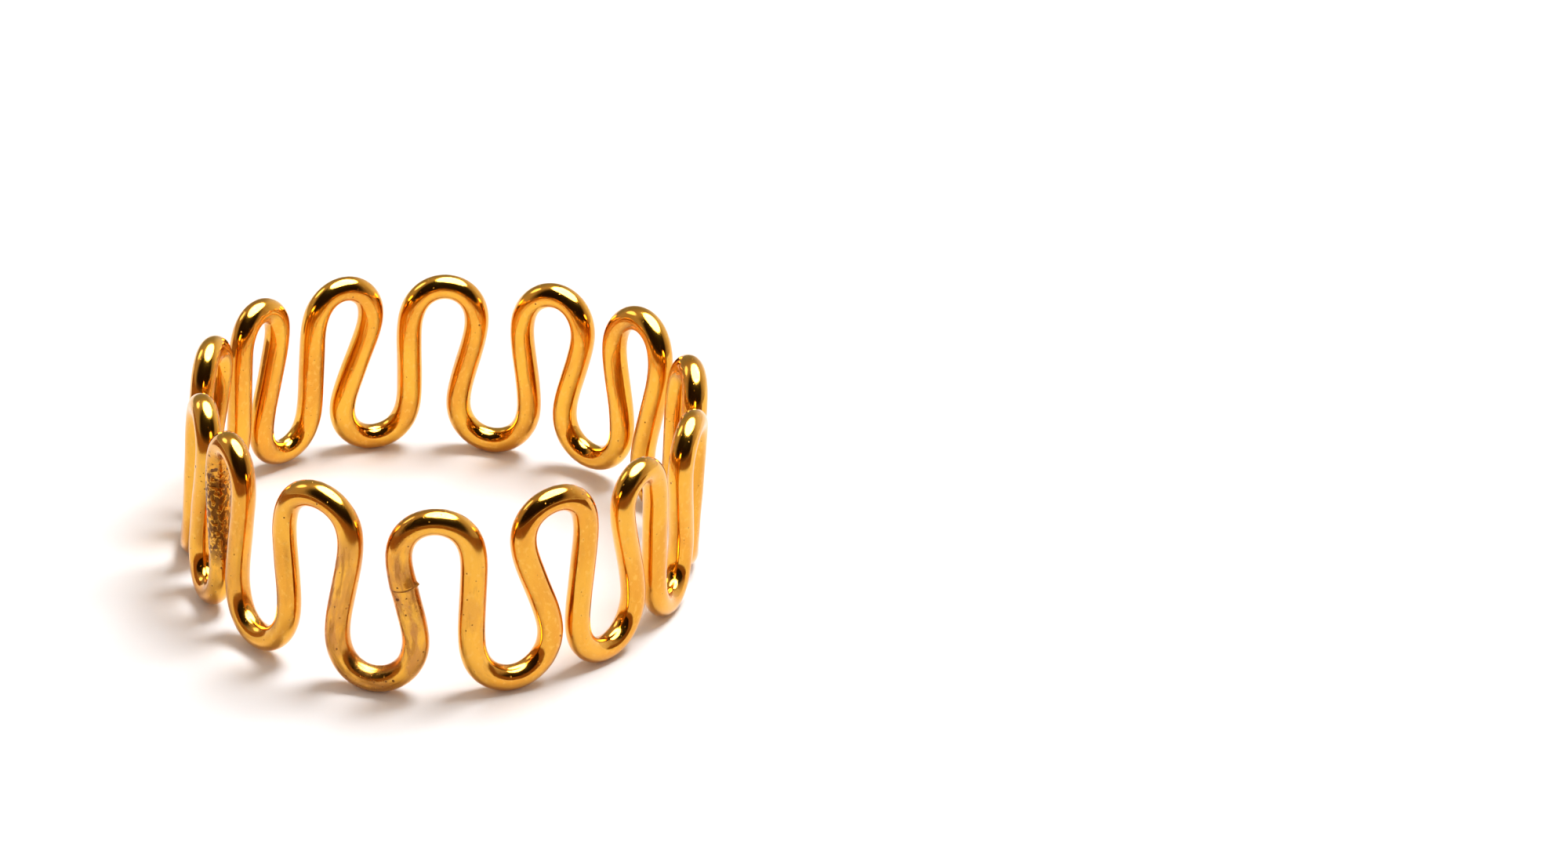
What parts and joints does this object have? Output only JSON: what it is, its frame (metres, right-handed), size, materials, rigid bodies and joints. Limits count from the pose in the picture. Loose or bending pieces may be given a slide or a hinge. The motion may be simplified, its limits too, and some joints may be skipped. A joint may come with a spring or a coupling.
{
  "type": "wavy wire toe ring",
  "caption": "Toe ring of round gold-coloured wire, bent into a regular wave and closed into a springy band.",
  "frame": {"origin": "under the middle of the band, on the surface that the ring lies on", "axes": "+Z along the ring's axis and up, away from the surface; -Y towards the front of the pictured ring, +X to its right"},
  "size_m": [0.0178, 0.0182, 0.0072],
  "materials": {
    "gold_wire": "gold plated and polished, with fine pits and a few dull brown patches on the outer faces"
  },
  "bodies": {
    "root": {"wave_band": "gold_wire"}
  },
  "joints": []
}
